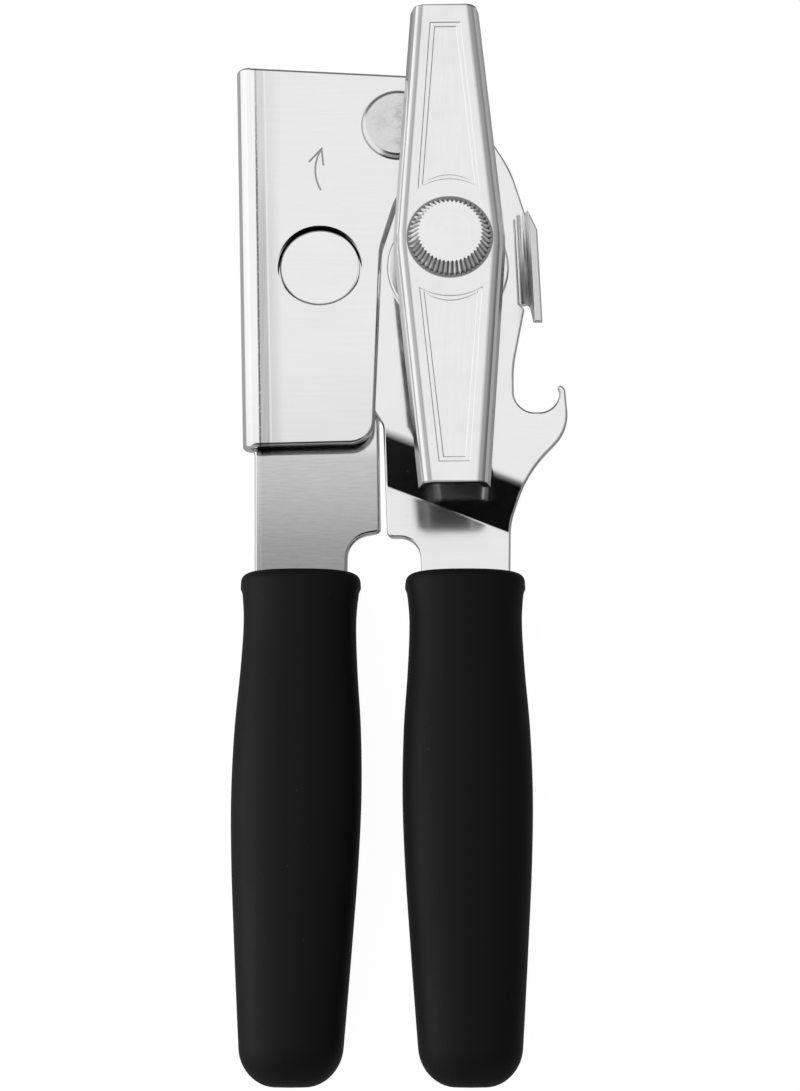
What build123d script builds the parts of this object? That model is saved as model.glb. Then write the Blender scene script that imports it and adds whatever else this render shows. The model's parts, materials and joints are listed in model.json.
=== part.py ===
from build123d import *
import math
import os

# Geared can opener lying on its back: X across the handles, Y along them, Z up through the crank.
# The origin is under the middle of the whole object, on the surface it lies on. Millimetres.

SHEET = 1.5                  # thickness of both frames' steel
PLATE_GAP = 0.15             # running gap each side of the plate between the folded leaves
TANG_Z = 6.3                 # underside of both handle tangs and of the rear leaf
HEAD_Z = TANG_Z + SHEET + PLATE_GAP
FRONT_Z = HEAD_Z + SHEET + PLATE_GAP
FRONT_TOP = FRONT_Z + SHEET
EDGE_ROUND = 0.62            # rolled edges of the folded frame
PLATE_ROUND = 0.4           # rolled edges of the joggled frame
STAMP_DEPTH = 0.18           # depth of the stamped arrow
STAMP_WIDTH = 0.32

PIVOT = (-0.1, 73.35)        # rivet that joins the two frames
SPINDLE = (8.4, 47.6)        # drive axis, under the crank
CUTTER = (-13.6, 47.6)       # cutter wheel axis
RUN_CLEAR = 0.06             # radial clearance of every running fit
CUT_ABOVE = 0.1              # how far a cut starts above its surface

PIVOT_SHANK = 3.0
PIVOT_HEAD = (6.3, 1.05)     # radius, height
PIVOT_HEAD_ROUND = 0.85
PIVOT_TAIL = (4.6, 0.7)
PIVOT_WASHER = (5.6, 0.5)

FOLD_R = (FRONT_TOP - TANG_Z) / 2
FOLD_LOW = (-23.97, 15.4)
FOLD_HIGH = (-26.1, 84.4)

STUD_HEAD = (6.85, 2.2)
STUD_ACCESS = 7.25           # hole in the front leaf over the cutter stud
STUD_SHANK = 3.0
STUD_TAIL = (4.0, 0.35)
THRUST_WASHER = (5.4, 0.35)  # radius, thickness, as for the other washers
END_WASHER = (5.2, 0.3)

GEAR_TEETH = 16
GEAR_MODULE = (SPINDLE[0] - CUTTER[0]) / GEAR_TEETH
GEAR_Z = (3.7, 5.85)
GEAR_BACKLASH = 0.28
GEAR_PRESSURE = 20

CUTTER_WHEEL_R = 12.9
CUTTER_WHEEL_Z = (0.75, 1.7)
CUTTER_BEVEL = 2.6
CUTTER_HUB_R = 4.6
CUTTER_COLLAR_R = 6.2
FEED_R = 10.4
FEED_Z = (1.95, 3.45)
FEED_TEETH = 38
FEED_TOOTH = 0.75
FEED_COLLAR_R = 7.5

BUSH_FLANGE = (10.45, 1.15)
BUSH_SLEEVE_R = 5.4
BUSH_COLLAR = (7.0, 0.9)
SPINDLE_R = 3.6
SPINDLE_TAIL = (4.6, 1.25)
SPINDLE_WASHER_R = 5.8
SPACER_R = 5.6
SPRING_SPACE = 0.85          # height the spring washer takes between bushing and spacer

CRANK_TOP = 24.6
CRANK_DEPTH = 3.8
CRANK_SHEET = 1.2
CRANK_HALF_LENGTH = 42.0
CRANK_HALF_WIDTH = 9.45      # at the spindle
CRANK_END_HALF_WIDTH = 5.85
CRANK_WAIST = 1.2            # half length of the straight stretch at the spindle
CRANK_FLARE = 13             # lean of the side flanges from upright, degrees
CRANK_SHOULDER = 2.0         # outside radius between face and flange
CRANK_REST_TURN = 0.87       # degrees
PANEL_STEP = 0.1             # each panel is sunk in two steps of this depth
PANEL_WALL = 0.14            # width of the slope at each step
PANEL_BORDER = 0.75          # flat border between the two steps
UPPER_PANEL = (37.8, 9.4, 1.75, 4.3, 1.7)      # far end, near end, half widths there, bow of the near end
LOWER_PANEL = (-37.7, -9.6, 1.7, 4.35, -1.5)

KNOB_BASE = 7.0
KNOB_FLAT = 5.5
KNOB_HEIGHT = 2.6
KNOB_SERRATIONS = 48
KNOB_GROOVE = 0.42

GRIP_THICK = 14.1
GRIP_TOP_Y = -5.9
GRIP_LENGTH = 83.7
TANG_END_Y = -70.0


def at(point, z):
    return Pos(point[0], point[1], z)


def disc(point, z, radius, height):
    return at(point, z + height / 2) * Cylinder(radius, height)


def ring(point, z, radius, bore, height):
    return disc(point, z, radius, height) - disc(point, z, bore, height)


def plate_face(corners):
    """Closed outline from corners given as x, y and the radius that rounds each one."""
    points = [(x, y) for x, y, _ in corners]
    radii = [r for _, _, r in corners]
    return make_face(FilletPolyline(*points, radius=radii, close=True))


def star_face(tip, root, teeth):
    """Ring of pointed serrations, tip radius and root radius in turn."""
    points = []
    for i in range(2 * teeth):
        radius = tip if i % 2 == 0 else root
        angle = math.pi * i / teeth
        points.append((radius * math.cos(angle), radius * math.sin(angle)))
    return make_face(Polyline(*points, close=True))


# ---------------------------------------------------------------- cutter frame

LEAF_RIGHT = [(-2.95, 50.8, 9.0), (0.3, 61.2, 6.0), (9.4, 64.5, 4.0), (9.4, 82.4, 9.2)]
BESIDE_FOLD = [(-32.0, 84.6, 1.0), (-32.0, 17.0, 1.0)]
FRONT_LOW = [(-24.3, 15.42, 0.6), (-4.25, 15.95, 4.2)]
TANG = [(-24.5, 15.42, 0.6), (-24.2, -5.0, 60.0), (-23.2, TANG_END_Y, 4.0), (-11.8, TANG_END_Y, 4.0),
        (-8.6, -5.0, 60.0), (-8.6, 0.3, 4.1), (-3.05, 1.3, 0.9), (-3.35, 20.0, 60.0)]


def rims(solid):
    """Edges of a flat plate's outline, on its two faces."""
    return [e for e in solid.edges() if e.bounding_box().size.Z < 0.01]


def leaf(low_corners, z):
    """One flat leaf with rolled edges, trimmed at the line where the fold begins."""
    plate = extrude(Pos(0, 0, z) * plate_face(BESIDE_FOLD + low_corners + LEAF_RIGHT), SHEET)
    plate = fillet(rims(plate), EDGE_ROUND)
    low, high = Vector(*FOLD_LOW), Vector(*FOLD_HIGH)
    beyond = low - (low - high) * 1.2
    trim = Polyline(low, beyond, (-40, beyond.Y), (-40, low.Y), close=True)
    return plate - extrude(Pos(0, 0, z - 1) * make_face(trim), SHEET + 2)


def fold():
    """Half-round bend that joins the two leaves along the left edge."""
    run = Vector(FOLD_HIGH[0] - FOLD_LOW[0], FOLD_HIGH[1] - FOLD_LOW[1], 0)
    outward = Vector(-run.Y, run.X, 0).normalized()
    section = Plane(origin=(FOLD_LOW[0], FOLD_LOW[1], (TANG_Z + FRONT_TOP) / 2), x_dir=outward, z_dir=run)
    half = Pos(FOLD_R, 0) * Rectangle(2 * FOLD_R, 3 * FOLD_R)
    bend = extrude(section * ((Circle(FOLD_R) - Circle(FOLD_R - SHEET)) & half), run.length)
    ends = [e for e in bend.edges() if e.geom_type == GeomType.CIRCLE]
    return fillet(ends, EDGE_ROUND)


def cutter_frame():
    frame = leaf(FRONT_LOW, FRONT_Z) + fold() + leaf(TANG, TANG_Z)
    frame -= disc(CUTTER, FRONT_Z, STUD_ACCESS, SHEET)
    frame -= disc(CUTTER, TANG_Z, STUD_SHANK, SHEET)
    frame -= disc(PIVOT, TANG_Z, PIVOT_SHANK, FRONT_TOP - TANG_Z)
    return frame - arrow_stamp()


def arrow_stamp():
    """Open arrow with a curved shaft, cut into the front leaf."""
    tip = (-13.43, 68.95)
    shaft = ThreePointArc((-13.5, 61.3), (-14.5, 65.0), tip)
    barbs = Polyline((-15.6, 66.5), tip, (-13.1, 65.85))
    strokes = trace(shaft, STAMP_WIDTH) + trace(barbs, STAMP_WIDTH)
    return extrude(Pos(0, 0, FRONT_TOP - STAMP_DEPTH) * strokes, 1.0)


def pivot_rivet():
    radius, height = PIVOT_HEAD
    head = disc(PIVOT, FRONT_TOP, radius, height)
    head = fillet(head.edges().group_by(Axis.Z)[-1], PIVOT_HEAD_ROUND)
    tail_r, tail_h = PIVOT_TAIL
    tail_z = TANG_Z - PIVOT_WASHER[1] - tail_h
    tail = disc(PIVOT, tail_z, tail_r, tail_h)
    tail = fillet(tail.edges().group_by(Axis.Z)[0], 0.5)
    return head + disc(PIVOT, tail_z, PIVOT_SHANK, FRONT_TOP - tail_z) + tail


def pivot_washer():
    radius, height = PIVOT_WASHER
    return ring(PIVOT, TANG_Z - height, radius, PIVOT_SHANK, height)


# --------------------------------------------------------------- cutter wheel set

def cutter_stud():
    radius, height = STUD_HEAD
    head = disc(CUTTER, TANG_Z + SHEET, radius, height)
    head = fillet(head.edges().group_by(Axis.Z)[-1], 0.35)
    tail = fillet(disc(CUTTER, 0, *STUD_TAIL).edges().group_by(Axis.Z)[0], 0.2)
    return head + disc(CUTTER, STUD_TAIL[1] / 2, STUD_SHANK, TANG_Z + SHEET) + tail


def cutter_thrust_washer():
    radius, height = THRUST_WASHER
    return ring(CUTTER, TANG_Z - height, radius, STUD_SHANK, height)


def cutter_end_washer():
    radius, height = END_WASHER
    return ring(CUTTER, STUD_TAIL[1], radius, STUD_SHANK, height)


def gear_face():
    """Straight-flanked spur gear outline, one tooth centred on +X."""
    pitch = GEAR_MODULE * GEAR_TEETH / 2
    tip = pitch + 0.92 * GEAR_MODULE
    root = pitch - 1.15 * GEAR_MODULE
    lean = math.tan(math.radians(GEAR_PRESSURE))
    half = math.pi * GEAR_MODULE / 4 - GEAR_BACKLASH / 2
    tooth = [(root, half + (pitch - root) * lean), (tip, half - (tip - pitch) * lean)]
    points = []
    for i in range(GEAR_TEETH):
        turn = 2 * math.pi * i / GEAR_TEETH
        for radius, offset in tooth + [(r, -h) for r, h in reversed(tooth)]:
            angle = turn - math.atan2(offset, radius)
            points.append((radius * math.cos(angle), radius * math.sin(angle)))
    return make_face(Polyline(*points, close=True))


def gear(centre, bore, turn):
    low, high = GEAR_Z
    wheel = extrude(at(centre, low) * Rot(0, 0, turn) * gear_face(), high - low)
    return wheel - disc(centre, low, bore, high - low)


def cutter_wheel():
    """Round blade, bevelled on the side away from the frame to a sharp rim."""
    low, high = CUTTER_WHEEL_Z
    blade = disc(CUTTER, low, CUTTER_WHEEL_R, high - low)
    blade = chamfer(blade.edges().group_by(Axis.Z)[0], (high - low) * 0.85, CUTTER_BEVEL)
    return blade - disc(CUTTER, low, CUTTER_HUB_R, high - low)


def cutter_hub():
    """Sleeve that carries the blade and its gear, with a collar that keeps them apart."""
    low = CUTTER_WHEEL_Z[0]
    sleeve = disc(CUTTER, low, CUTTER_HUB_R, GEAR_Z[1] - low)
    sleeve += disc(CUTTER, CUTTER_WHEEL_Z[1], CUTTER_COLLAR_R, GEAR_Z[0] - CUTTER_WHEEL_Z[1])
    return sleeve - disc(CUTTER, 0, STUD_SHANK + RUN_CLEAR, TANG_Z)


# ---------------------------------------------------------------- drive frame

JOGGLE_TURN = -21.5          # direction of the bend lines, degrees from X
CREASE = (8.2, 5.2)          # point on the lower bend line
JOGGLE_RUN = 9.1

HEAD_LEFT = [(-9.1, 62.0, 5.0), (-5.0, 55.0, 4.0), (-4.45, 22.1, 0.7), (-2.7, 19.8, 2.0)]
NOTCH = [(-2.0, 0.45, 1.2), (3.45, 0.45, 3.5), (3.75, -5.0, 60.0)]
TANG_ENDS = [(5.4, TANG_END_Y, 4.0), (16.6, TANG_END_Y, 4.0), (18.65, -5.0, 60.0)]
HOOK = [(18.8, 3.0, 12.0), (21.6, 11.2, 22.0), (28.75, 18.9, 7.5), (28.2, 26.2, 0.9), (27.3, 26.8, 0.32),
        (26.85, 26.35, 0.32), (27.2, 25.7, 0.4), (27.25, 21.95, 3.6), (19.5, 21.95, 3.6), (19.45, 30.0, 25.0)]
TAB_LOW = (20.6, 41.3)
TAB_HIGH = (20.0, 56.4)
TAB_SEAT = [(21.5, 40.3, 0.45), (*TAB_LOW, 0.5), (*TAB_HIGH, 0.5), (21.9, 57.4, 0.6)]
HEAD_TOP = [(19.4, 65.8, 20.0), (11.5, 78.8, 8.0), (1.0, 83.2, 8.0), (-9.1, 79.5, 6.0)]

TAB_BEND_R = 1.7
TAB_ANGLE = 85
TAB_TOP = 14.3
TAB_SIDE = [(41.3, HEAD_Z - 1), (41.1, 9.8), (36.3, 13.6), (37.0, 15.5), (57.3, 15.5),
            (57.3, HEAD_Z - 1)]      # side view of the sheared tab: y, z
TAB_SHEAR = [(20.9, 58.9), (25.0, 49.9), (25.0, 62.0), (20.9, 62.0)]      # cut off its upper corner
TAB_RIM = 0.3                # rounding of its free edges


def sheet_section(length):
    """Side view of the sheet: raised head, a gentle upper bend, a sharp crease, then the tang."""
    tang, head = TANG_Z, HEAD_Z
    path = [(-length, tang), (0, tang), (JOGGLE_RUN, head), (length, head)]
    under = FilletPolyline(*path, radius=[1.5, 16.0])
    over = FilletPolyline(*[(y, z + SHEET) for y, z in path], radius=[1.5, 16.0])
    ends = Line(path[0], (path[0][0], tang + SHEET)) + Line(path[-1], (path[-1][0], head + SHEET))
    return make_face(under + over + ends)


def sheared_rims(plate):
    """Edges where the upright cut faces meet the two faces of the sheet."""
    cut = [f for f in plate.faces() if abs(f.normal_at().Z) < 0.02]
    return [e for f in cut for e in f.edges() if abs((e % 0.5).Z) < 0.7]


def on_tab_seat(edge):
    middle = edge @ 0.5
    return middle.X > TAB_HIGH[0] - 0.3 and TAB_LOW[1] - 0.3 < middle.Y < TAB_HIGH[1] + 0.3


def drive_plate():
    outline = plate_face(HEAD_LEFT + NOTCH + TANG_ENDS + HOOK + TAB_SEAT + HEAD_TOP)
    prism = extrude(outline, 30)
    along = Vector(math.cos(math.radians(JOGGLE_TURN)), math.sin(math.radians(JOGGLE_TURN)), 0)
    across = Vector(-along.Y, along.X, 0)
    side = Plane(origin=(CREASE[0], CREASE[1], 0), x_dir=across, z_dir=across.cross(Vector(0, 0, 1)))
    sheet = extrude(side * sheet_section(120), 80, both=True)
    plate = prism & sheet
    return fillet([e for e in sheared_rims(plate) if not on_tab_seat(e)], PLATE_ROUND)


def on_tab_rim(edge):
    """True for the edges round the tab's free sides, clear of the bend."""
    return min(edge @ 0, edge @ 1, key=lambda p: p.Z).Z > HEAD_Z + SHEET + TAB_BEND_R


def rim_tab():
    """Guide tab bent up from the plate's right edge, its free end sheared on a slant."""
    low = Vector(*TAB_LOW, HEAD_Z)
    high = Vector(*TAB_HIGH, HEAD_Z)
    lean = math.radians(TAB_ANGLE)
    centre = (0, SHEET + TAB_BEND_R)
    inner, outer = TAB_BEND_R, TAB_BEND_R + SHEET
    arc_in = CenterArc(centre, inner, -90, TAB_ANGLE)
    arc_out = CenterArc(centre, outer, -90, TAB_ANGLE)
    rise = TAB_TOP - HEAD_Z - centre[1]
    up = (math.cos(lean) * rise, math.sin(lean) * rise)
    legs = [Line(a @ 1, (a @ 1) + Vector(up[0], up[1])) for a in (arc_in, arc_out)]
    profile = make_face(arc_in + arc_out + legs[0] + legs[1]
                        + Line(arc_in @ 0, arc_out @ 0) + Line(legs[0] @ 1, legs[1] @ 1))
    run = high - low
    out = Vector(run.Y, -run.X, 0).normalized()
    section = Plane(origin=low - run * 0.5, x_dir=out, z_dir=out.cross(Vector(0, 0, 1)))
    blank = extrude(section * profile, -run.length * 2)
    skew = Polyline(*TAB_SIDE, close=True)
    side = Plane(origin=(15, 0, 0), x_dir=(0, 1, 0), z_dir=(1, 0, 0))
    tab = blank & extrude(side * make_face(skew), 15)
    tab -= extrude(make_face(Polyline(*TAB_SHEAR, close=True)), 30)
    return fillet([e for e in tab.edges() if on_tab_rim(e)], TAB_RIM)


def drive_frame():
    frame = drive_plate() + rim_tab()
    frame -= disc(PIVOT, HEAD_Z, PIVOT_SHANK + RUN_CLEAR, SHEET)
    return frame - disc(SPINDLE, HEAD_Z, BUSH_SLEEVE_R, SHEET)


def shaft_bushing():
    radius, height = BUSH_FLANGE
    flange = disc(SPINDLE, HEAD_Z + SHEET, radius, height)
    flange = fillet(flange.edges().group_by(Axis.Z)[-1], 0.4)
    collar_r, collar_h = BUSH_COLLAR
    low = HEAD_Z - collar_h
    body = flange + disc(SPINDLE, low, BUSH_SLEEVE_R, SHEET + collar_h)
    body += disc(SPINDLE, low, collar_r, collar_h)
    return body - disc(SPINDLE, 0, SPINDLE_R + RUN_CLEAR, 20)


# ---------------------------------------------------------------- crank and drive train

def channel_section(half_width):
    """Cross-section of the crank: a face with a rounded shoulder and a leaning flange each side."""
    lean = math.radians(CRANK_FLARE)
    wall = CRANK_SHEET / math.cos(lean)
    paths = []
    for inset, height, radius in ((0, CRANK_DEPTH, CRANK_SHOULDER),
                                  (wall, CRANK_DEPTH - CRANK_SHEET, CRANK_SHOULDER - CRANK_SHEET)):
        foot = half_width - inset
        corner = foot - height * math.tan(lean)
        points = [(-foot, 0), (-corner, height), (corner, height), (foot, 0)]
        paths.append(FilletPolyline(*points, radius=[radius, radius]))
    outer, inner = paths
    return make_face(outer + inner + Line(outer @ 0, inner @ 0) + Line(outer @ 1, inner @ 1))


def crank_channel():
    """Two arms that widen to a short straight waist at the spindle."""
    slope = (CRANK_HALF_WIDTH - CRANK_END_HALF_WIDTH) / CRANK_HALF_LENGTH
    waist = CRANK_HALF_WIDTH - CRANK_WAIST * slope
    stations = [(-CRANK_HALF_LENGTH, CRANK_END_HALF_WIDTH), (-CRANK_WAIST, waist), (CRANK_WAIST, waist),
                (CRANK_HALF_LENGTH, CRANK_END_HALF_WIDTH)]
    sections = []
    for y, half_width in stations:
        place = Plane(origin=(0, y, -CRANK_DEPTH), x_dir=(1, 0, 0), z_dir=(0, -1, 0))
        sections.append(place * channel_section(half_width))
    return loft(sections, ruled=True)


def panel_face(far, near, half_far, half_near, sag):
    """Four-sided outline whose near edge bows with the round head."""
    edges = Line((-half_far, far), (half_far, far)) + Line((half_far, far), (half_near, near))
    edges += ThreePointArc((half_near, near), (0, near + sag), (-half_near, near))
    edges += Line((-half_near, near), (-half_far, far))
    return make_face(edges)


def panel_step(outline, grow, floor):
    """Recess with a flat floor at that depth and a short slope round it; grow widens the outline."""
    far, near, half_far, half_near, sag = outline
    side = 1 if far > 0 else -1
    layers = []
    for z in (floor, CUT_ABOVE):
        wider = grow + (z - floor) * PANEL_WALL / PANEL_STEP
        face = panel_face(far + side * wider, near - side * wider, half_far + wider, half_near + wider, sag)
        layers.append(Pos(0, 0, z) * face)
    return loft(layers, ruled=True)


def crank_handle():
    solid = crank_channel()
    for outline in (UPPER_PANEL, LOWER_PANEL):
        solid -= panel_step(outline, PANEL_BORDER, -PANEL_STEP)
        solid -= panel_step(outline, 0, -2 * PANEL_STEP)
    solid -= Cylinder(SPINDLE_R, 20)
    return at(SPINDLE, CRANK_TOP) * Rot(0, 0, CRANK_REST_TURN) * solid


def drive_spindle():
    """Shaft with a flat serrated head that holds the crank, headed over at its lower end."""
    base = star_face(KNOB_BASE, KNOB_BASE - KNOB_GROOVE, KNOB_SERRATIONS)
    flat = star_face(KNOB_FLAT, KNOB_FLAT - KNOB_GROOVE, KNOB_SERRATIONS)
    head = loft([base, Pos(0, 0, KNOB_HEIGHT) * flat], ruled=True)
    inside_tail = SPINDLE_TAIL[1] / 2
    shaft = disc(SPINDLE, inside_tail, SPINDLE_R, CRANK_TOP - inside_tail)
    tail = fillet(disc(SPINDLE, 0, *SPINDLE_TAIL).edges().group_by(Axis.Z)[0], 0.6)
    return at(SPINDLE, CRANK_TOP) * head + shaft + tail


def crank_spacer():
    low = HEAD_Z + SHEET + BUSH_FLANGE[1] + SPRING_SPACE
    high = CRANK_TOP - CRANK_SHEET
    return ring(SPINDLE, low, SPACER_R, SPINDLE_R, high - low)


def spring_washer():
    """Shallow cone between the bushing and the spacer."""
    low = HEAD_Z + SHEET + BUSH_FLANGE[1] + 0.1
    wall, rise, wide, narrow = 0.4, 0.35, 8.0, 4.6
    section = Polyline((SPINDLE_R, low + rise), (narrow, low + rise), (wide, low), (wide, low + wall),
                       (narrow, low + rise + wall), (SPINDLE_R, low + rise + wall), close=True)
    return Pos(SPINDLE[0], SPINDLE[1], 0) * revolve(Plane.XZ * make_face(section), Axis.Z)


def feed_wheel():
    """Serrated wheel that walks the opener round the rim."""
    low, high = FEED_Z
    wheel = extrude(at(SPINDLE, low) * star_face(FEED_R, FEED_R - FEED_TOOTH, FEED_TEETH), high - low)
    wheel += disc(SPINDLE, high, FEED_COLLAR_R, GEAR_Z[0] - high)
    return wheel - disc(SPINDLE, low, SPINDLE_R, GEAR_Z[0] - low)


def spindle_end_washer():
    low = SPINDLE_TAIL[1]
    return ring(SPINDLE, low, SPINDLE_WASHER_R, SPINDLE_R, FEED_Z[0] - low)


# ---------------------------------------------------------------- grips

GRIP_STATIONS = [  # distance from the head end, half width, thickness
    (0.0, 9.3, 12.0), (0.9, 9.9, 13.2), (2.6, 10.05, 13.6), (8.5, 9.35, 13.3), (17.0, 9.65, 13.5),
    (28.0, 10.5, 14.0), (38.0, 10.65, 14.08), (48.0, 10.35, 14.05), (60.0, 9.5, 13.8),
    (72.0, 8.55, 13.3), (78.0, 7.95, 12.6), (81.4, 6.9, 10.8), (83.2, 4.6, 7.6), (GRIP_LENGTH, 2.4, 4.6)]


def grip(centre_x, lean):
    """Moulded sleeve: a waist behind the head end, a full belly and a domed tip."""
    sections = []
    for distance, half_width, thickness in GRIP_STATIONS:
        place = Plane(origin=(0, -distance, GRIP_THICK / 2), x_dir=(1, 0, 0), z_dir=(0, -1, 0))
        corner = 0.46 * thickness
        sections.append(place * RectangleRounded(2 * half_width, thickness, min(corner, half_width * 0.9)))
    return Pos(centre_x, GRIP_TOP_Y, 0) * Rot(0, 0, lean) * loft(sections)


def left_grip(tang):
    return grip(-16.45, -0.5) - tang


def right_grip(tang):
    return grip(11.0, 0.3) - tang


def save(name, solid):
    solid.label = name
    export_step(solid, os.path.join("parts", name + ".step"))


def main():
    os.makedirs("parts", exist_ok=True)
    left = cutter_frame()
    right = drive_frame()
    pieces = {
        "cutter_frame": left,
        "left_grip": left_grip(left),
        "pivot_rivet": pivot_rivet(),
        "pivot_washer": pivot_washer(),
        "cutter_stud": cutter_stud(),
        "cutter_thrust_washer": cutter_thrust_washer(),
        "cutter_end_washer": cutter_end_washer(),
        "cutter_gear": gear(CUTTER, CUTTER_HUB_R, 0),
        "cutter_wheel": cutter_wheel(),
        "cutter_hub": cutter_hub(),
        "drive_frame": right,
        "right_grip": right_grip(right),
        "shaft_bushing": shaft_bushing(),
        "crank_handle": crank_handle(),
        "drive_spindle": drive_spindle(),
        "crank_spacer": crank_spacer(),
        "spring_washer": spring_washer(),
        "drive_gear": gear(SPINDLE, SPINDLE_R, 180 / GEAR_TEETH),
        "feed_wheel": feed_wheel(),
        "spindle_end_washer": spindle_end_washer(),
    }
    for name, solid in pieces.items():
        save(name, solid)


main()
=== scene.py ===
import json
import math

import bpy
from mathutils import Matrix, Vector


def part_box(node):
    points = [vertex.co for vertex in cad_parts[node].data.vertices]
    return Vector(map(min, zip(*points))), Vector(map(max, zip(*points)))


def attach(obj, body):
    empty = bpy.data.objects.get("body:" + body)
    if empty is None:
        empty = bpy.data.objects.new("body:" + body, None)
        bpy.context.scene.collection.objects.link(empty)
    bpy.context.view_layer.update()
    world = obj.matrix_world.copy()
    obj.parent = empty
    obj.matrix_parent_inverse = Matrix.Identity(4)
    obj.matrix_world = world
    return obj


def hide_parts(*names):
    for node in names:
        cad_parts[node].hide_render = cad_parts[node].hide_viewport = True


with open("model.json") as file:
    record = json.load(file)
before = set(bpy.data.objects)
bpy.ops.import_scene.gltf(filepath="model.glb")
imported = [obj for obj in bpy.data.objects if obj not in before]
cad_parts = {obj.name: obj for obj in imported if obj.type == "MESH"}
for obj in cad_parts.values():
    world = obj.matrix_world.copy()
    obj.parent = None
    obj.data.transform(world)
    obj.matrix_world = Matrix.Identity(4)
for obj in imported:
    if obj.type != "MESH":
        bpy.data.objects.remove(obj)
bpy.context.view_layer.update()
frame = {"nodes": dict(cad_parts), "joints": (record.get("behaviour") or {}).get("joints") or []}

# A geared can opener lying on its back. X runs across the handles, Y along them towards the
# cutting head, Z up through the crank. Lengths are millimetres, turned to metres by MM.

MM = 0.001


def axis_of(name):
    """Where a joint's upright axis stands, in X and Y."""
    joint = next(joint for joint in frame["joints"] if joint["name"] == name)
    return joint["pos_m"][0] / MM, joint["pos_m"][1] / MM


def top_of(node):
    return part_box(node)[1].z / MM


PIVOT_AXIS = axis_of("handle_pivot")
SPINDLE_AXIS = axis_of("crank_spin")
CUTTER_AXIS = axis_of("cutter_spin")

TANG_FACE = 7.8                  # height of both tangs' upper faces
HEAD_FACE = 9.45                 # height of the drive frame's head, on the same sheet as its tang
TANG_SHADE_TOP = 16.0            # painted shade darkens the left tang below this Y
FOLD_LOW = (-23.97, 15.4)        # line where the front leaf turns into the folded edge
FOLD_HIGH = (-26.1, 84.4)
SHADE_LINE_LOW = (-23.3, 15.4)       # painted shade: a dark line beside it
SHADE_LINE_HIGH = (-25.15, 84.4)
ARROW_MIDDLE = (-14.3, 65.1)     # stamped arrow on the front leaf
ARROW_FLOOR = 10.92
RIVET_RADIUS = 6.3
TAB_BEND = (20.0, 40.8, 57.0)    # where the guide tab turns up: least X, and its ends in Y
FEED_WHEEL_RADIUS = 10.4
CUTTER_WHEEL_RADIUS = 12.9

CRANK_FACE = top_of("crank_handle")
CRANK_LEAN = 0.0152              # how far the crank leans left per length at rest
CRANK_TAPER = 0.0857             # how far each side draws in per length from the spindle
CRANK_FACE_HALF = 7.2            # half width of its flat face at the spindle
CRANK_HALF_LENGTH = 42.0
KNOB_RADIUS = 7.0                # at its foot
KNOB_FLAT = 5.5                  # at its face
KNOB_HEIGHT = top_of("drive_spindle") - CRANK_FACE

GRIP_TOP = -5.95                 # Y of the head end of both grips
GRIP_LENGTH = 83.6
GRIP_MIDDLE_Z = 7.05
GRIP_ROUNDNESS = 2.45            # exponent of the cross-section, 2 is an ellipse
GRIP_RIM = 1.75                  # rounding at the head end
GRIP_TAIL = 6.0                  # length of the rounded tail
GRIP_TAIL_INSET = (5.6, 5.2)     # how far it draws in, across and through
GRIP_TAIL_CROWN = 0.05           # how far its middle stands out
GRIP_STATIONS = (                # distance from the head end, half width, half thickness
    (0.0, 10.35, 6.95),
    (3.0, 9.75, 6.8),
    (8.0, 9.38, 6.68),
    (16.0, 9.7, 6.75),
    (26.0, 10.42, 6.95),
    (37.0, 10.68, 7.03),
    (48.0, 10.35, 7.0),
    (60.0, 9.62, 6.85),
    (72.0, 8.8, 6.6),
    (83.6, 7.95, 6.3),
)
GRIPS = (                        # sleeve, CAD piece, body, X at the head end, lean, edges of its tang
    ("left_grip_sleeve", "left_grip", "cutter_side", -16.42, -0.62, (-24.2, -8.6)),
    ("right_grip_sleeve", "right_grip", "drive_side", 11.05, 0.28, (3.75, 18.65)),
)
FLASH_AT = 2.3                   # moulding flash on both sides, this far from the head end
FLASH_LENGTH = 0.9
FLASH_HEIGHT = 0.22
TANG_HALF_THICKNESS = 0.75
SLOT_CLEARANCE = 0.14            # between the tang and the moulded slot
SLOT_DEPTH = 3.0
SLOT_SQUARENESS = 9.0            # exponents of the slot's outline, and of its rounded mouth
MOUTH_SQUARENESS = 7.0
MOUTH_ROUNDING = 0.25
MOUTH_HALF_HEIGHT = 1.15
MOUTH_DROP = 0.02

AROUND = 112                     # points in a ring round a grip, and rings along each stretch
RIM_RINGS = 9
FLASH_RINGS = 13
FLASH_RING_STEP = 0.22
BODY_RINGS = 80
TAIL_RINGS = 18

FLOOR_HALF = 2500                # half width of the studio floor
FLOOR_DROP = 0.05                # how far it lies below the opener
FLOOR_SEEN = 0.96                # glow that makes the floor read as white paper
FLOOR_IN_STEEL = 0.33            # the same floor where the steel mirrors it
REFLECTOR_GLOW = 0.6             # added by a white reflector lying on the floor
REFLECTOR_EDGE = -160            # left of here, fading over twice the next value
REFLECTOR_FADE = 40
BACKDROP_SEEN = 0.98

CAMERA_TARGET = (0.15, -0.75, 7.0)
CAMERA_DISTANCE = 400
CAMERA_TILT = 13.6               # degrees from straight down, towards the grips
CAMERA_LENS = 78.56
CAMERA_SENSOR = 36
STRIP_AT = (-400, -50, 220)      # lamp for the grips
STRIP_SIZE = (120, 400)
STRIP_WATTS = 0.85


# ---------------------------------------------------------------- finishes

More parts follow.
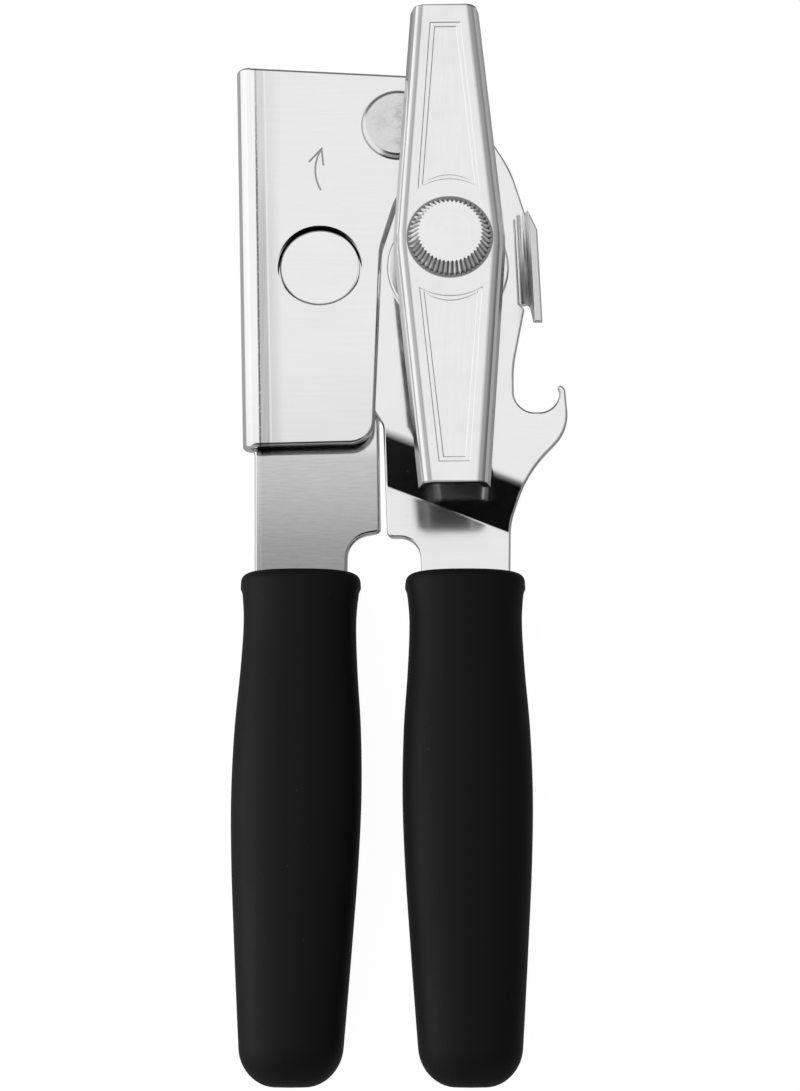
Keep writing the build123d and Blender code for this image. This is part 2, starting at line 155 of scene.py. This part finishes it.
class Amount:
    """A value that varies over a surface; arithmetic on it adds the nodes that work it out."""

    def __init__(self, finish, socket):
        self.finish = finish
        self.socket = socket

    def maths(self, operation, *values):
        return self.finish.node("Math", {"operation": operation}, dict(enumerate(values)))

    def __add__(self, other):
        return self.maths("ADD", self, other)

    def __sub__(self, other):
        return self.maths("SUBTRACT", self, other)

    def __rsub__(self, other):
        return self.maths("SUBTRACT", other, self)

    def __mul__(self, other):
        return self.maths("MULTIPLY", self, other)

    def __truediv__(self, other):
        return self.maths("DIVIDE", self, other)

    def __pow__(self, other):
        return self.maths("POWER", self, other)

    __radd__ = __add__
    __rmul__ = __mul__

    def size(self):
        return self.maths("ABSOLUTE", self)

    def at_least(self, other):
        return self.maths("MAXIMUM", self, other)

    def rise(self, low, high):
        """0 below low, 1 above high, smooth between; the other way round where low is larger."""
        settings = {"interpolation_type": "SMOOTHSTEP"}
        limits = {"From Min": min(low, high), "From Max": max(low, high)}
        risen = self.finish.node("MapRange", settings, {"Value": self, **limits})
        return risen if low < high else 1 - risen

    def within(self, core, fade):
        """1 where this is nearer to zero than core, 0 where it is further than fade."""
        return self.size().rise(fade, core)

    def out(self, name):
        """Another output of the node that made this value."""
        return Amount(self.finish, self.socket.node.outputs[name])


class Finish:
    """The nodes of one material, or of the studio's world."""

    def __init__(self, tree):
        self.tree = tree
        self.tree.nodes.clear()

    def node(self, kind, settings, inputs, output=0):
        made = self.tree.nodes.new("ShaderNode" + kind)
        for name, value in settings.items():
            setattr(made, name, value)
        for name, value in inputs.items():
            if isinstance(value, Amount):
                self.tree.links.new(value.socket, made.inputs[name])
            else:
                made.inputs[name].default_value = value
        return Amount(self, made.outputs[output])

    def place(self):
        """The point on the surface, in millimetres in the object's own frame."""
        metres = self.node("TexCoord", {}, {}, "Object")
        return self.node("VectorMath", {"operation": "SCALE"}, {0: metres, "Scale": 1 / MM})

    def stretch(self, point, x, y, z):
        return self.node("VectorMath", {"operation": "MULTIPLY"}, {0: point, 1: (x, y, z)})

    def noise(self, point, size, detail=3.0, roughness=0.55):
        """Cloudy variation about 0.5 with features of that size in millimetres."""
        inputs = {"Vector": point, "Scale": 1 / size, "Detail": detail, "Roughness": roughness}
        return self.node("TexNoise", {"noise_dimensions": "3D"}, inputs)

    def lengths(self, point):
        x = self.node("SeparateXYZ", {}, {0: point})
        return x, x.out("Y"), x.out("Z")

    def point_at(self, x, y, z):
        return self.node("CombineXYZ", {}, {0: x, 1: y, 2: z})

    def relief(self, height_mm):
        """Surface normal for a height in millimetres."""
        return self.node("Bump", {}, {"Height": height_mm, "Distance": MM, "Strength": 1.0}, "Normal")

    def surface(self, **sockets):
        inputs = {name.replace("_", " "): value for name, value in sockets.items()}
        self.deliver("OutputMaterial", self.node("BsdfPrincipled", {}, inputs, "BSDF"))

    def metal(self, tone, roughness, height_mm):
        self.surface(Base_Color=tone, Metallic=1.0, Roughness=roughness, Normal=self.relief(height_mm))

    def deliver(self, kind, shader):
        out = self.tree.nodes.new("ShaderNode" + kind)
        self.tree.links.new(shader.socket, out.inputs["Surface"])


def new_finish(name):
    material = bpy.data.materials.new(name)
    material.use_nodes = True
    return material, Finish(material.node_tree)


def brushing(finish, point, along, width=0.35, length=9.0):
    """Fine scratches of the polishing belt, running along X or along Y."""
    if along == "x":
        grain = finish.stretch(point, 1 / length, 1 / width, 1 / width)
    else:
        grain = finish.stretch(point, 1 / width, 1 / length, 1 / width)
    return finish.noise(grain, 1.0, 4.0, 0.65)


def right_of(x, y, low, high):
    """Distance to the right of a nearly upright line through two points."""
    slope = (high[0] - low[0]) / (high[1] - low[1])
    return x - ((y - low[1]) * slope + low[0])


def from_axis(x, y, centre):
    return ((x - centre[0]) ** 2 + (y - centre[1]) ** 2) ** 0.5


def fold_shading(finish, point):
    """Painted light beside the folded edge: a dark speckled line and a greyer band of streaks as painted
    shade, bright lines as painted highlights.
    """
    x, y, _ = finish.lengths(point)
    inward = right_of(x, y, FOLD_LOW, FOLD_HIGH)
    beside = right_of(x, y, SHADE_LINE_LOW, SHADE_LINE_HIGH)
    streaks = finish.noise(finish.stretch(point, 1 / 0.3, 1 / 22, 1), 1.0, 2.0)
    speckle = finish.noise(finish.stretch(point, 1 / 0.22, 1 / 0.35, 1), 1.0, 2.0)
    # painted shade: dark speckled line beside the fold
    line = beside.within(0.1, 0.26) * speckle.rise(0.2, 0.5) * (y.rise(84, 60) * 0.5 + 0.5)
    line = line * y.rise(FOLD_LOW[1] - 0.4, FOLD_LOW[1])
    # painted shade: greyer streaked band over the bend, paler beyond it
    shaded_band = beside.rise(0.12, 0.3) * inward.rise(2.6, 2.25) * (streaks * 0.34 + 0.2)
    beyond = inward.rise(2.3, 2.6) * inward.rise(5.2, 2.8) * 0.17
    # painted highlights: a bright line, and a brightened strip up to the dark line
    glint = (inward - 2.45).within(0.08, 0.26) * 0.16
    painted_highlight = beside.rise(-0.1, -0.25) * inward.rise(-1.6, -0.2) * 0.1
    reach = y.rise(FOLD_LOW[1] - 0.8, FOLD_LOW[1]) * (y.rise(78, 40) * 0.6 + 0.4)
    return line, (shaded_band + beyond) * reach, glint * reach + painted_highlight


def stamped(finish, point):
    """1 on the floor of the stamped arrow, 0 elsewhere."""
    x, y, z = finish.lengths(point)
    inside = (x - ARROW_MIDDLE[0]).within(2.8, 3.0) * (y - ARROW_MIDDLE[1]).within(5.0, 5.2)
    return inside * (z - ARROW_FLOOR).within(0.09, 0.13)


def cutter_frame_shading(finish, point, tone, polish):
    """Painted shade and highlights beside the fold, painted shade in the stamped arrow, the rivet's painted
    shadow, a slight darkening towards the tang end, and streaked painted shade on the tang.
    """
    x, y, z = finish.lengths(point)
    line, band, glint = fold_shading(finish, point)
    # painted shade on the left tang's flat face, growing further down, with streaks
    tang = y.rise(TANG_SHADE_TOP + 1.0, TANG_SHADE_TOP - 2.5) * z.rise(TANG_FACE - 0.1, TANG_FACE - 0.02)
    lower = y.rise(15.0, -6.0)
    fine = finish.noise(finish.stretch(point, 1 / 2.6, 1 / 0.3, 1), 1.0, 3.0, 0.6) - 0.5
    # painted shadow round the rivet
    rivet_shadow = from_axis(x, y, PIVOT_AXIS).rise(RIVET_RADIUS + 0.3, RIVET_RADIUS + 0.1)
    # painted shade and painted highlights beside the fold
    tone = tone * (1 - line * 0.8) * (1 - band) + glint
    # painted shade in the stamped arrow's groove, and the painted shadow round the rivet
    tone = tone * (1 - stamped(finish, point) * 0.62) * (1 - rivet_shadow * 0.5)
    # darker towards the tang end
    tone = tone * (1 - y.rise(34, 14) * 0.07)
    return tone * (1 - tang * (0.28 + lower * 0.32 + fine * 0.16)), polish


def drive_frame_shading(finish, point, tone, polish):
    """Painted shade on the joggle's slope between tang and head and on the guide tab's bend; the bend and
    the tang are also rougher.
    """
    x, y, z = finish.lengths(point)
    # painted shade on the joggle's slope
    joggle_shade = z.rise(TANG_FACE + 0.02, TANG_FACE + 0.1) * y.rise(24, 22)
    joggle_shade = joggle_shade * z.rise(HEAD_FACE - 0.03, HEAD_FACE - 0.12)
    least_x, low_y, high_y = TAB_BEND
    # painted shade on the guide tab's bend, which is also rougher
    bend = x.rise(least_x - 0.2, least_x + 0.9) * z.rise(HEAD_FACE - 0.3, HEAD_FACE)
    bend = bend * y.rise(low_y - 7, low_y - 6) * y.rise(high_y + 0.8, high_y - 0.4)
    tone = tone * (1 - joggle_shade * 0.3) * (1 - bend * 0.06)
    return tone, polish + bend * 0.16 + z.rise(TANG_FACE + 0.04, TANG_FACE + 0.01) * 0.07


def plated_sheet(name, roughness, shading):
    """Bright nickel plate over sheet steel, belt-polished along X; shading adds one frame's own painted
    shade and highlights.
    """
    material, finish = new_finish(name)
    point = finish.place()
    grain = brushing(finish, point, "x")
    ripple = finish.noise(finish.stretch(point, 1 / 3.2, 1 / 0.55, 1 / 3), 1.0, 3.0, 0.6)
    clouds = finish.noise(point, 14.0, 3.0)
    swell = finish.noise(point, 9.0, 2.0)
    pits = finish.noise(point, 0.32, 2.0).rise(0.74, 0.8) * finish.noise(point, 5.0, 1.0).rise(0.5, 0.62)
    tone = 0.9 - (clouds - 0.5) * 0.05 - (grain - 0.5) * 0.05 - pits * 0.22
    polish = roughness + (grain - 0.5) * 0.06 + (clouds - 0.5) * 0.05 + pits * 0.2
    # one frame's painted shade and painted highlights
    tone, polish = shading(finish, point, tone, polish)
    finish.metal(tone, polish, grain * 0.0009 + ripple * 0.0008 + swell * 0.016 - pits * 0.006)
    return material


def bright_plate(name, roughness=0.17, along="y", centre=None, shade=None):
    """Satin-bright plated pressing; given a centre, its scratches run round that axis.

    shade is given X, Y and Z and returns how far the plate is darkened there.
    """
    material, finish = new_finish(name)
    point = finish.place()
    x, y, z = finish.lengths(point)
    if centre:
        out = from_axis(x, y, centre)
        grain = finish.noise(finish.point_at(out / 0.22, x / 9.0, y / 9.0), 1.0, 3.0, 0.6)
    else:
        grain = brushing(finish, point, along, 0.3, 7.0)
    clouds = finish.noise(point, 6.0, 4.0, 0.6)
    specks = finish.noise(point, 0.4, 1.0).rise(0.76, 0.82)
    tone = 0.91 - (clouds - 0.5) * 0.07 - (grain - 0.5) * 0.05 - specks * 0.12
    if shade:
        tone = tone * (1 - shade(x, y, z))
    polish = roughness + (grain - 0.5) * 0.08 + (clouds - 0.5) * 0.1
    finish.metal(tone, polish, grain * 0.0011 + clouds * 0.004 - specks * 0.005)
    return material


def crank_shade(x, y, z):
    """Painted shade: grey on the left shoulder, the feet of the flanges and both ends, and a painted shadow
    in a line round the knob.
    """
    along = y - SPINDLE_AXIS[1]
    across = x - SPINDLE_AXIS[0] + along * CRANK_LEAN
    left = across + CRANK_FACE_HALF - along.size() * CRANK_TAPER
    # painted shade on the left shoulder
    shoulder_shade = left.rise(0.5, 0.1) * z.rise(CRANK_FACE - 0.006, CRANK_FACE - 0.05)
    shoulder_shade = shoulder_shade * z.rise(CRANK_FACE - 0.42, CRANK_FACE - 0.16)
    # painted shade at the flanges' feet
    foot = z.rise(CRANK_FACE - 1.1, CRANK_FACE - 1.9)
    # painted shadow round the knob's foot
    knob = from_axis(x, y, SPINDLE_AXIS).rise(KNOB_RADIUS + 0.28, KNOB_RADIUS + 0.08)
    # painted shade along both ends
    end = along.size().rise(CRANK_HALF_LENGTH - 0.35, CRANK_HALF_LENGTH - 0.15)
    return (shoulder_shade * 0.5 + foot * 0.45).at_least(knob * 0.75).at_least(end * 0.6)


def knob_shade(x, y, z):
    """Painted shade in the bottoms of the serrations."""
    out = from_axis(x, y, SPINDLE_AXIS)
    height = z - CRANK_FACE
    cone = KNOB_RADIUS - height * ((KNOB_RADIUS - KNOB_FLAT) / KNOB_HEIGHT)
    return (cone - out).rise(0.1, 0.45) * height.rise(KNOB_HEIGHT, KNOB_HEIGHT - 0.05) * 0.65


def hammered_rivet(name, centre):
    """Pressed rivet head: plated, with the grey mottle the setting tool leaves."""
    material, finish = new_finish(name)
    point = finish.place()
    x, y, _ = finish.lengths(point)
    out = from_axis(x, y, centre)
    dull = finish.noise(point, 3.6, 6.0, 0.75).rise(0.42, 0.72) * out.rise(5.8, 1.5)
    tone = 0.82 - dull * 0.24 - finish.noise(point, 0.5, 3.0) * 0.1
    finish.metal(tone, 0.2 + dull * 0.16, finish.noise(point, 1.6, 4.0) * 0.012)
    return material


def turned_steel(name, centre):
    """Plain turned or blanked washers and spacers."""
    material, finish = new_finish(name)
    point = finish.place()
    x, y, z = finish.lengths(point)
    out = from_axis(x, y, centre)
    rings = finish.noise(finish.point_at(out / 0.16, z / 0.16, x / 14.0), 1.0, 2.0)
    clouds = finish.noise(point, 4.0, 4.0)
    tone = 0.72 - (rings - 0.5) * 0.16 - (clouds - 0.5) * 0.1
    polish = 0.24 + (rings - 0.5) * 0.12 + (clouds - 0.5) * 0.1
    finish.metal(tone, polish, rings * 0.004)
    return material


def gear_steel(name, centre):
    """Punched gear blanks: duller faces with a grain from the strip, a trace of oil at the teeth."""
    material, finish = new_finish(name)
    point = finish.place()
    x, y, _ = finish.lengths(point)
    out = from_axis(x, y, centre)
    grain = brushing(finish, point, "x", 0.28, 12.0)
    film = finish.noise(point, 2.2, 4.0, 0.65).rise(0.42, 0.7) * out.rise(8.0, 11.5)
    tone = 0.6 - (grain - 0.5) * 0.14 - film * 0.2
    polish = 0.3 + (grain - 0.5) * 0.14 - film * 0.08
    finish.metal(tone, polish, grain * 0.004)
    return material


def tool_steel(name, centre, edge):
    """Hardened wheel, ground in circles, brighter at its edge."""
    material, finish = new_finish(name)
    point = finish.place()
    x, y, _ = finish.lengths(point)
    out = from_axis(x, y, centre)
    rings = finish.noise(finish.point_at(out / 0.1, x / 16.0, y / 16.0), 1.0, 3.0, 0.7)
    clouds = finish.noise(point, 3.0, 4.0)
    ground = out.rise(edge - 2.7, edge - 2.3)
    tone = 0.56 + ground * 0.2 - (rings - 0.5) * 0.12 - (clouds - 0.5) * 0.1
    polish = 0.26 - ground * 0.08 + (rings - 0.5) * 0.16
    finish.metal(tone, polish, rings * 0.003)
    return material


def soft_black(name):
    """Matte black soft plastic with a fine grain, faint handling marks and a few dust specks."""
    material, finish = new_finish(name)
    point = finish.place()
    grain = finish.noise(point, 0.35, 3.0, 0.7)
    handled = finish.noise(finish.stretch(point, 1, 0.45, 1), 11.0, 4.0, 0.6)
    dust = finish.noise(point, 0.45, 1.0).rise(0.775, 0.83) * handled.rise(0.4, 0.6)
    tone = 0.0026 + handled * 0.0026 + grain * 0.0014 + dust * 0.05
    polish = 0.6 + (handled - 0.5) * 0.2 + (grain - 0.5) * 0.12
    height = grain * 0.006 + finish.noise(point, 1.3, 2.0) * 0.006 + dust * 0.01
    finish.surface(Base_Color=tone, Roughness=polish, Specular_IOR_Level=0.17, Normal=finish.relief(height))
    return material


def plate(node, material):
    """Gives a CAD part its finish."""
    mesh = frame["nodes"][node].data
    mesh.materials.clear()
    mesh.materials.append(material)


def finish_metal():
    plate("cutter_frame", plated_sheet("nickel_plate_left", 0.12, cutter_frame_shading))
    plate("drive_frame", plated_sheet("nickel_plate_right", 0.08, drive_frame_shading))
    plate("shaft_bushing", bright_plate("bushing_plate", centre=SPINDLE_AXIS))
    plate("crank_handle", bright_plate("crank_plate", shade=crank_shade))
    plate("drive_spindle", bright_plate("knob_plate", 0.15, centre=SPINDLE_AXIS, shade=knob_shade))
    plate("pivot_rivet", hammered_rivet("pivot_rivet_plate", PIVOT_AXIS))
    plate("cutter_stud", bright_plate("stud_plate", 0.13, "x"))
    for axis, turned in (
            (SPINDLE_AXIS, ("crank_spacer", "spring_washer", "spindle_end_washer")),
            (PIVOT_AXIS, ("pivot_washer",)),
            (CUTTER_AXIS, ("cutter_thrust_washer", "cutter_end_washer"))):
        for node in turned:
            plate(node, turned_steel(node + "_steel", axis))
    plate("cutter_gear", gear_steel("cutter_gear_steel", CUTTER_AXIS))
    plate("drive_gear", gear_steel("drive_gear_steel", SPINDLE_AXIS))
    plate("cutter_hub", gear_steel("cutter_hub_steel", CUTTER_AXIS))
    plate("feed_wheel", tool_steel("feed_wheel_steel", SPINDLE_AXIS, FEED_WHEEL_RADIUS))
    plate("cutter_wheel", tool_steel("cutter_wheel_steel", CUTTER_AXIS, CUTTER_WHEEL_RADIUS))


# ---------------------------------------------------------------- grips

def add_object(name, data):
    made = bpy.data.objects.new(name, data)
    bpy.context.scene.collection.objects.link(made)
    return made


def through_stations(distance, column):
    """Smooth curve through the grip's stations: a Catmull-Rom spline over uneven steps."""
    rows = GRIP_STATIONS
    i = max(k for k in range(len(rows) - 1) if rows[k][0] <= distance or k == 0)
    before, first = rows[max(i - 1, 0)], rows[i]
    second, after = rows[i + 1], rows[min(i + 2, len(rows) - 1)]
    step = second[0] - first[0]
    t = (distance - first[0]) / step
    slope_in = (second[column] - before[column]) / (second[0] - before[0]) * step
    slope_out = (after[column] - first[column]) / (after[0] - first[0]) * step
    return (first[column] * (2 * t**3 - 3 * t**2 + 1) + slope_in * (t**3 - 2 * t**2 + t)
            + second[column] * (3 * t**2 - 2 * t**3) + slope_out * (t**3 - t**2))


def drawn_in(share):
    """How much of a rounding's inset is taken at this share of its length."""
    return 1 - math.sqrt(max(0.0, 1 - share * share))


def section(distance):
    """Half width and half thickness of a grip at that distance from its head end."""
    half_width = through_stations(distance, 1)
    half_depth = through_stations(distance, 2)
    if distance < GRIP_RIM:
        inset = GRIP_RIM * drawn_in(1 - distance / GRIP_RIM)
        half_width -= inset
        half_depth -= inset
    into_tail = distance - (GRIP_LENGTH - GRIP_TAIL)
    if into_tail > 0:
        inset = drawn_in(into_tail / GRIP_TAIL)
        half_width -= GRIP_TAIL_INSET[0] * inset
        half_depth -= GRIP_TAIL_INSET[1] * inset
    return half_width, half_depth


def superellipse(angle, half_width, half_depth, power):
    """Point of a rounded outline that grows squarer as the power grows."""
    c, s = math.cos(angle), math.sin(angle)
    x = math.copysign(abs(c) ** (2 / power), c) * half_width
    z = math.copysign(abs(s) ** (2 / power), s) * half_depth
    return x, z


def flash(distance, z):
    """Height of the small nub of moulding flash on each side, on the parting line."""
    off = math.hypot((distance - FLASH_AT) / FLASH_LENGTH, z / FLASH_LENGTH)
    return FLASH_HEIGHT * (1 - off) if off < 1 else 0.0


def ring_distances():
    """Rings along the grip, closer together round its rim, its flash and its tail."""
    quarter = math.pi / 2
    rim = [GRIP_RIM * (1 - math.cos(quarter * k / RIM_RINGS)) for k in range(RIM_RINGS + 1)]
    flashed = [GRIP_RIM + FLASH_RING_STEP * k for k in range(1, FLASH_RINGS + 1)]
    start = flashed[-1]
    stop = GRIP_LENGTH - GRIP_TAIL
    body = [start + (stop - start) * k / BODY_RINGS for k in range(1, BODY_RINGS + 1)]
    tail = [stop + GRIP_TAIL * math.sin(quarter * k / TAIL_RINGS) for k in range(1, TAIL_RINGS + 1)]
    return rim + flashed + body + tail


def ring(middle_x, half_width, half_depth, power, distance, flashed=False):
    """Closed ring of points round a grip, at that distance from its head end."""
    points = []
    for k in range(AROUND):
        x, z = superellipse(2 * math.pi * k / AROUND, half_width, half_depth, power)
        if flashed:
            x += math.copysign(flash(distance, z), x)
        points.append(((middle_x + x) * MM, (GRIP_TOP - distance) * MM, (GRIP_MIDDLE_Z + z) * MM))
    return points


def slot_rings(slot_x, tang_half, head_x):
    """Rings from the slot's bottom out over its rounded mouth and across the grip's end."""
    slot_half = tang_half + SLOT_CLEARANCE
    slot_half_height = TANG_HALF_THICKNESS + SLOT_CLEARANCE
    mouth_half = slot_half + MOUTH_ROUNDING
    rings = [ring(slot_x, slot_half, slot_half_height, SLOT_SQUARENESS, SLOT_DEPTH),
             ring(slot_x, slot_half, slot_half_height, SLOT_SQUARENESS, MOUTH_ROUNDING),
             ring(slot_x, mouth_half, MOUTH_HALF_HEIGHT, MOUTH_SQUARENESS, MOUTH_DROP)]
    mouth = (slot_x, mouth_half, MOUTH_HALF_HEIGHT, MOUTH_SQUARENESS)
    rim = (head_x, *section(0.0), GRIP_ROUNDNESS)
    for share in (0.35, 0.8):
        rings.append(ring(*[inner + (outer - inner) * share for inner, outer in zip(mouth, rim)], 0))
    return rings


def grip(name, cad_node, body, head_x, lean, tang):
    """Moulded sleeve over a tang, with its slot, its rounded tail and the flash left by the mould."""
    tilt = math.tan(math.radians(lean))
    rings = slot_rings((tang[0] + tang[1]) / 2, (tang[1] - tang[0]) / 2, head_x)
    for distance in ring_distances():
        rings.append(ring(head_x + tilt * distance, *section(distance), GRIP_ROUNDNESS, distance, True))
    vertices = [point for points in rings for point in points]
    last = len(vertices) - AROUND
    tail_end = len(vertices)
    vertices.append(((head_x + tilt * GRIP_LENGTH) * MM, (GRIP_TOP - GRIP_LENGTH - GRIP_TAIL_CROWN) * MM,
                     GRIP_MIDDLE_Z * MM))
    around = [(k, (k + 1) % AROUND) for k in range(AROUND)]
    faces = [(start + k, start + after, start + AROUND + after, start + AROUND + k)
             for start in range(0, last, AROUND) for k, after in around]
    faces.append(tuple(reversed(range(AROUND))))
    faces += [(last + k, last + after, tail_end) for k, after in around]
    mesh = bpy.data.meshes.new(name)
    mesh.from_pydata(vertices, [], faces)
    mesh.validate()
    mesh.shade_smooth()
    piece = add_object(name, mesh)
    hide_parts(cad_node)
    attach(piece, body)
    return piece


def make_grips():
    black = soft_black("grip_soft_black")
    sleeves = [grip(*details) for details in GRIPS]
    for sleeve in sleeves:
        sleeve.data.materials.append(black)
    return sleeves


# ---------------------------------------------------------------- studio

def studio_floor():
    edge = FLOOR_HALF * MM
    mesh = bpy.data.meshes.new("studio_floor")
    corners = [(-edge, -edge, 0), (edge, -edge, 0), (edge, edge, 0), (-edge, edge, 0)]
    mesh.from_pydata(corners, [], [(0, 1, 2, 3)])
    floor = add_object("studio_floor", mesh)
    floor.location.z = -FLOOR_DROP * MM
    material, finish = new_finish("pale_floor")
    point = finish.place()
    x, _, _ = finish.lengths(point)
    paper = finish.noise(point, 60.0, 3.0)
    seen = finish.node("LightPath", {}, {}, "Is Camera Ray")
    reflector = x.rise(REFLECTOR_EDGE + REFLECTOR_FADE, REFLECTOR_EDGE - REFLECTOR_FADE)
    glow = seen * FLOOR_SEEN + (1 - seen) * (FLOOR_IN_STEEL + reflector * REFLECTOR_GLOW)
    finish.surface(Base_Color=paper * 0.01 + 0.14, Roughness=0.9, Specular_IOR_Level=0.0,
                   Emission_Color=glow, Emission_Strength=1.0)
    mesh.materials.append(material)


def studio_world():
    """Soft tent: bright overhead, a white panel low on the left, grey on the right, dark towards the
    head, and a dark gap over the grips."""
    world = bpy.data.worlds.new("studio_tent")
    bpy.context.scene.world = world
    world.use_nodes = True
    finish = Finish(world.node_tree)
    x, y, z = finish.lengths(finish.node("TexCoord", {}, {}, "Generated"))
    left = x * -1
    tent = 0.3 + z.rise(-0.1, 0.6) * 0.6
    tent = tent + left.rise(0.44, 0.62) * (1.03 - tent)
    tent = tent + x.rise(0.1, 0.5) * (0.36 - tent)
    tent = tent + x.rise(0.7, 0.98) * (0.14 - tent)
    tent = tent + y.rise(0.5, 0.72) * (0.12 - tent)
    aside = x.size() - (y * -0.5).at_least(0)
    gap = y.rise(0.09, -0.02) * aside.rise(0.34, 0.14) * z.rise(0.02, 0.3)
    level = tent * (1 - gap) + gap * (0.004 + z.rise(0.84, 0.62) * 0.34)
    seen = finish.node("LightPath", {}, {}, "Is Camera Ray")
    shown = level * (1 - seen) + seen * BACKDROP_SEEN
    finish.deliver("OutputWorld", finish.node("Background", {}, {"Color": shown, "Strength": 1.0}))


def grip_strip(sleeves):
    """A soft strip lamp low on the left that only the two grips receive."""
    data = bpy.data.lights.new("grip_strip", "AREA")
    lamp = add_object("grip_strip", data)
    data.shape = "RECTANGLE"
    data.size, data.size_y = (side * MM for side in STRIP_SIZE)
    data.energy = STRIP_WATTS
    lamp.location = Vector(STRIP_AT) * MM
    lamp.rotation_mode = "QUATERNION"
    lamp.rotation_quaternion = lamp.location.normalized().to_track_quat("Z", "Y")
    lit = bpy.data.collections.new("lit_by_grip_strip")
    for sleeve in sleeves:
        lit.objects.link(sleeve)
    lamp.light_linking.receiver_collection = lit


def camera():
    data = bpy.data.cameras.new("camera")
    eye = add_object("camera", data)
    tilt = math.radians(CAMERA_TILT)
    back = Vector((0, -math.sin(tilt), math.cos(tilt)))
    eye.location = (Vector(CAMERA_TARGET) + back * CAMERA_DISTANCE) * MM
    eye.rotation_mode = "QUATERNION"
    eye.rotation_quaternion = (-back).to_track_quat("-Z", "Y")
    data.sensor_width = CAMERA_SENSOR
    data.lens = CAMERA_LENS
    data.clip_start = 10 * MM
    data.clip_end = 20000 * MM
    bpy.context.scene.camera = eye


finish_metal()
sleeves = make_grips()
studio_floor()
studio_world()
grip_strip(sleeves)
camera()
bpy.context.scene.view_settings.view_transform = "Standard"
